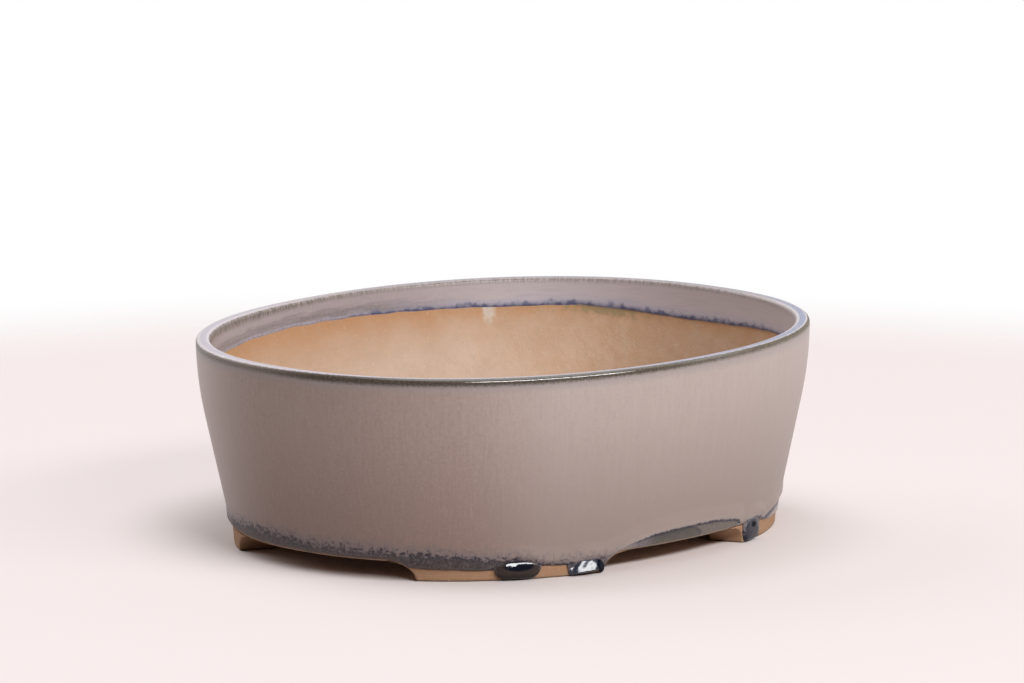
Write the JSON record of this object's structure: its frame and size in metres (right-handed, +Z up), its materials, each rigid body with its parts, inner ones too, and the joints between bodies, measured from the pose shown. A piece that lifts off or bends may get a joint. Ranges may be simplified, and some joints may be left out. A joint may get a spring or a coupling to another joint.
{
  "type": "oval bonsai pot",
  "caption": "Oval stoneware bonsai pot with tapered walls, a rounded lip, a satin glaze ending in dark runs, coved corner feet, drain holes and wire holes.",
  "frame": {"origin": "centre of the pot on the plane that its feet stand on", "axes": "+X along the oval's long axis, +Y along its short axis, +Z up through the mouth"},
  "size_m": [0.24, 0.196, 0.075],
  "materials": {
    "clay": "bare buff stoneware, fine sandy grain, matte",
    "glaze": "satin mushroom-taupe glaze, dark where it breaks at the lip and the base",
    "run": "thick glossy blue-black glaze"
  },
  "bodies": {
    "root": {"wall_ring": "clay", "floor_slab": "clay", "corner_coil": "clay", "foot_front_left": "clay", "foot_front_right": "clay", "foot_back_left": "clay", "foot_back_right": "clay", "glaze_coat": "glaze", "glaze_run_middle": "run", "glaze_run_end": "run", "glaze_run_corner": "run"}
  },
  "joints": []
}
